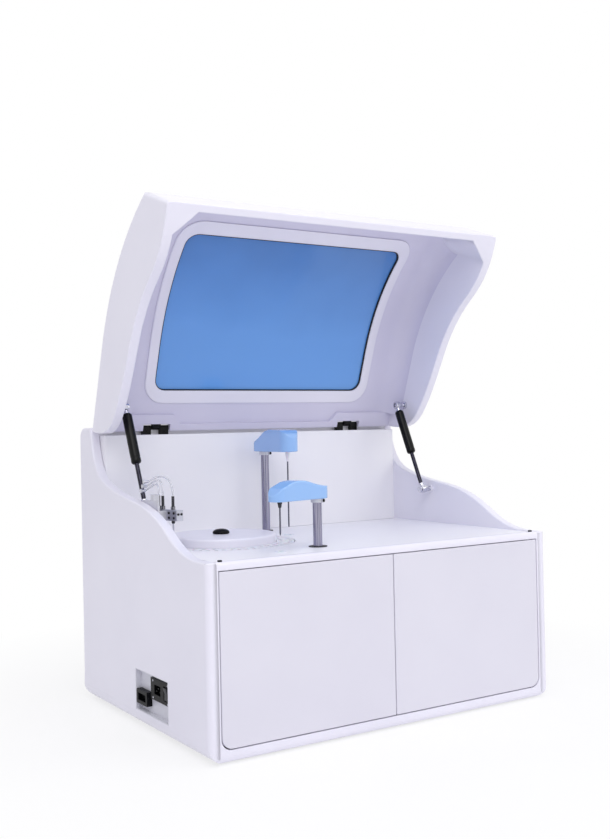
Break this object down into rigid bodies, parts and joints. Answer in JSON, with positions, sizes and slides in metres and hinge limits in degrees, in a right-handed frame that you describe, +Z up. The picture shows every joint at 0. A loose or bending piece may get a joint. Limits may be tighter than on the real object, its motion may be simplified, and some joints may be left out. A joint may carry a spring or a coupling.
{
  "type": "chemistry analyzer",
  "caption": "Benchtop chemistry analyzer with a windowed lid on gas struts, swinging sampling arms, a sample turntable, a wash head and front service doors.",
  "frame": {"origin": "middle of the footprint on the bench, under the rubber feet", "axes": "+X to the right as the user stands, +Y to the back, +Z up"},
  "size_m": [0.7, 0.516, 0.8994],
  "materials": {
    "shell_white": "satin",
    "liner_white": "satin",
    "chassis_metal": "satin",
    "rubber": "matte",
    "black_plastic": "matte",
    "dark_plastic": "matte",
    "panel_grey": "matte",
    "hinge_black": "gloss",
    "steel": "satin",
    "aluminium": "satin",
    "arm_blue": "gloss",
    "clear_plastic": "gloss",
    "bottle_green": "gloss",
    "natural_plastic": "matte",
    "window_blue": "gloss"
  },
  "bodies": {
    "cabinet": {"base_chassis": "chassis_metal", "rubber_feet": "rubber", "left_side_panel": "shell_white", "right_side_panel": "shell_white", "front_frame": "shell_white", "rear_cabinet": "shell_white", "rear_panel": "shell_white", "deck_plate": "shell_white", "power_panel": "panel_grey", "power_inlet": "black_plastic", "data_port": "black_plastic", "lid_hinge_bases": "hinge_black", "strut_wall_studs": "steel", "wash_bracket": "aluminium", "column_bushings": "black_plastic", "lift_frames": "chassis_metal", "turntable_bearing": "aluminium", "turntable_motor": "aluminium", "power_supply": "aluminium", "control_board": "bottle_green", "syringe_pumps": "chassis_metal", "wash_pumps": "dark_plastic", "probe_wash_wells": "natural_plastic", "photometer": "black_plastic", "lid_bumpers": "rubber", "door_hardware": "steel", "fan_frame": "black_plastic", "case_screws": "steel", "wash_tubes": "clear_plastic"},
    "lid": {"lid_shell": "shell_white", "lid_liner": "liner_white", "window_frame": "shell_white", "window_gasket": "rubber", "window_glass": "window_blue", "lid_hinge_leaves": "hinge_black", "lid_strut_studs": "steel"},
    "left_strut_rod": {"left_strut_rod": "steel"},
    "left_strut_tube": {"left_strut_tube": "hinge_black"},
    "right_strut_rod": {"right_strut_rod": "steel"},
    "right_strut_tube": {"right_strut_tube": "hinge_black"},
    "rear_lift": {"rear_lift_carriage": "aluminium"},
    "rear_arm": {"rear_arm_column": "steel", "rear_arm_cover": "arm_blue", "rear_probe": "steel"},
    "front_lift": {"front_lift_carriage": "aluminium"},
    "front_arm": {"front_arm_column": "steel", "front_arm_cover": "arm_blue", "front_probe": "steel"},
    "turntable": {"turntable_rotor": "aluminium", "cuvette_ring": "clear_plastic", "reagent_rack": "bottle_green"},
    "table_cover": {"turntable_cover": "shell_white", "cover_knob": "black_plastic"},
    "wash_head": {"wash_head": "aluminium"},
    "left_door": {"left_door": "shell_white"},
    "right_door": {"right_door": "shell_white"},
    "fan": {"fan_rotor": "dark_plastic"},
    "power_switch": {"power_switch": "dark_plastic"},
    "sample_plunger": {"sample_plunger": "natural_plastic"},
    "reagent_plunger": {"reagent_plunger": "natural_plastic"}
  },
  "joints": [
    {"name": "lid_hinge", "type": "hinge", "parent": "cabinet", "child": "lid", "pos_m": [0, 0.196, 0.5115], "axis": [1, 0, 0], "range_deg": [0, 70]},
    {"name": "left_strut_pivot", "type": "hinge", "parent": "cabinet", "child": "left_strut_rod", "pos_m": [-0.311, 0.047, 0.373], "axis": [1, 0, 0], "range_deg": [-21.5, 0]},
    {"name": "left_strut_slide", "type": "slide", "parent": "left_strut_rod", "child": "left_strut_tube", "axis": [0, 0.4183, 0.9083], "range_m": [-0.0682, 0]},
    {"name": "right_strut_pivot", "type": "hinge", "parent": "cabinet", "child": "right_strut_rod", "pos_m": [0.311, 0.047, 0.373], "axis": [1, 0, 0], "range_deg": [-21.5, 0]},
    {"name": "right_strut_slide", "type": "slide", "parent": "right_strut_rod", "child": "right_strut_tube", "axis": [0, 0.4183, 0.9083], "range_m": [-0.0682, 0]},
    {"name": "rear_arm_lift", "type": "slide", "parent": "cabinet", "child": "rear_lift", "axis": [0, 0, 1], "range_m": [-0.033, 0]},
    {"name": "rear_arm_swing", "type": "hinge", "parent": "rear_lift", "child": "rear_arm", "pos_m": [-0.01745, 0.1306, 0.46], "axis": [0, 0, 1], "range_deg": [-48.2, 90]},
    {"name": "front_arm_lift", "type": "slide", "parent": "cabinet", "child": "front_lift", "axis": [0, 0, 1], "range_m": [-0.045, 0]},
    {"name": "front_arm_swing", "type": "hinge", "parent": "front_lift", "child": "front_arm", "pos_m": [-0.09189, -0.1687, 0.385], "axis": [0, 0, 1], "range_deg": [-76.2, 5]},
    {"name": "turntable_turn", "type": "hinge", "parent": "cabinet", "child": "turntable", "pos_m": [-0.184, 0.006, 0.29], "axis": [0, 0, 1], "continuous": true},
    {"name": "table_cover_lift", "type": "slide", "parent": "turntable", "child": "table_cover", "axis": [0, 0, 1], "range_m": [0, 0.06]},
    {"name": "wash_head_lift", "type": "slide", "parent": "cabinet", "child": "wash_head", "axis": [0, 0, 1], "range_m": [-0.04, 0], "deforming": ["wash_tubes"]},
    {"name": "left_door_hinge", "type": "hinge", "parent": "cabinet", "child": "left_door", "pos_m": [-0.3118, -0.253, 0.157], "axis": [0, 0, 1], "range_deg": [-100, 0]},
    {"name": "right_door_hinge", "type": "hinge", "parent": "cabinet", "child": "right_door", "pos_m": [0.3118, -0.253, 0.157], "axis": [0, 0, 1], "range_deg": [0, 100]},
    {"name": "fan_spin", "type": "hinge", "parent": "cabinet", "child": "fan", "pos_m": [-0.15, 0.24, 0.2], "axis": [0, 1, 0], "continuous": true},
    {"name": "power_rocker", "type": "hinge", "parent": "cabinet", "child": "power_switch", "pos_m": [-0.342, -0.097, 0.078], "axis": [0, 1, 0], "range_deg": [0, 14]},
    {"name": "sample_plunger_slide", "type": "slide", "parent": "cabinet", "child": "sample_plunger", "axis": [0, 0, 1], "range_m": [-0.016, 0.034]},
    {"name": "reagent_plunger_slide", "type": "slide", "parent": "cabinet", "child": "reagent_plunger", "axis": [0, 0, 1], "range_m": [-0.016, 0.034]}
  ],
  "couplings": [
    {"joint": "left_strut_pivot", "follows": "lid_hinge", "ratio": -0.3034},
    {"joint": "left_strut_slide", "follows": "lid_hinge", "m_per_rad": -0.05559},
    {"joint": "right_strut_pivot", "follows": "lid_hinge", "ratio": -0.3034},
    {"joint": "right_strut_slide", "follows": "lid_hinge", "m_per_rad": -0.05559}
  ]
}
